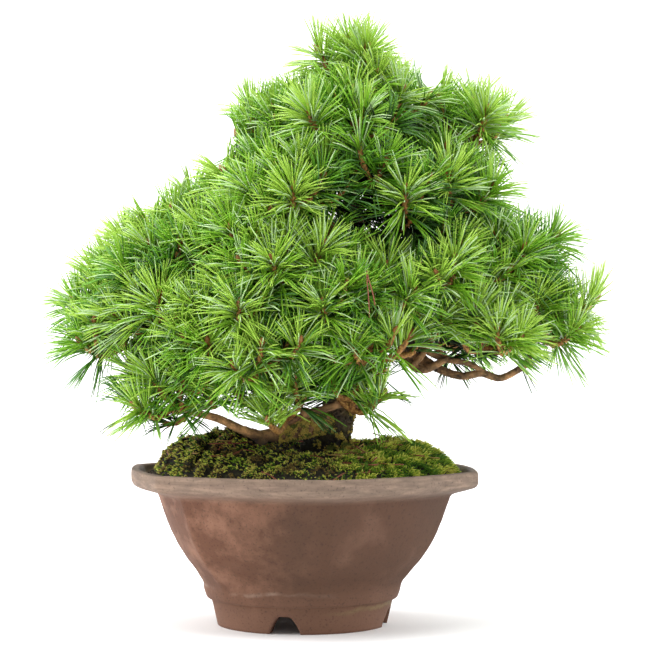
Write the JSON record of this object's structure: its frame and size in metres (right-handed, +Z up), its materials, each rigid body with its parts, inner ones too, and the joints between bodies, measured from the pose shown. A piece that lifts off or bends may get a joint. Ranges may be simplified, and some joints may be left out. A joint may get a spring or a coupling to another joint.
{
  "type": "potted japanese white pine bonsai",
  "caption": "Small informal white pine bonsai with dense needle tufts on a tapering trunk, set in a flared six-sided clay pot with moss-covered soil.",
  "frame": {"origin": "on the surface the pot stands on, under the middle of the whole plant's bounding box", "axes": "+Z up along the trunk, -Y the front of the tree, +X to the right seen from the front"},
  "size_m": [0.3307, 0.2299, 0.3514],
  "materials": {
    "clay": "unglazed matt stoneware, brown with a greyer rim",
    "soil": "dark moist grit",
    "moss": "short soft olive moss",
    "bark": "rough grey brown bark",
    "needles": "satin green needles"
  },
  "bodies": {
    "root": {"pot": "clay", "soil": "soil", "moss": "moss", "trunk": "bark", "bough_left_low": "bark", "bough_left_far": "bark", "bough_left": "bark", "bough_left_up": "bark", "bough_front_left": "bark", "bough_front_low": "bark", "bough_front_right": "bark", "bough_front": "bark", "bough_front_up": "bark", "bough_right_low": "bark", "bough_right_inner": "bark", "bough_right": "bark", "bough_right_up": "bark", "bough_back": "bark", "apex": "needles", "apex_right": "needles", "apex_left": "needles", "apex_front": "needles", "apex_back": "needles", "upper_left": "needles", "upper_left_front": "needles", "upper_left_back": "needles", "upper_right": "needles", "upper_right_front": "needles", "upper_right_back": "needles", "heart_right": "needles", "heart": "needles", "front_bright": "needles", "front_mid_left": "needles", "front_mid": "needles", "left_upper": "needles", "left_mid": "needles", "left_mid_front": "needles", "left_back": "needles", "left_far": "needles", "left_far_low": "needles", "left_front": "needles", "left_low_back": "needles", "left_low": "needles", "left_low_inner": "needles", "front_left": "needles", "front_low_left": "needles", "front_low": "needles", "front_low_right": "needles", "front_right_inner": "needles", "front_middle": "needles", "front_right": "needles", "right_low_inner": "needles", "right_low": "needles", "right_low_back": "needles", "right_far": "needles", "right": "needles", "right_inner": "needles", "right_back": "needles", "back_low": "needles", "back": "needles"}
  },
  "joints": []
}
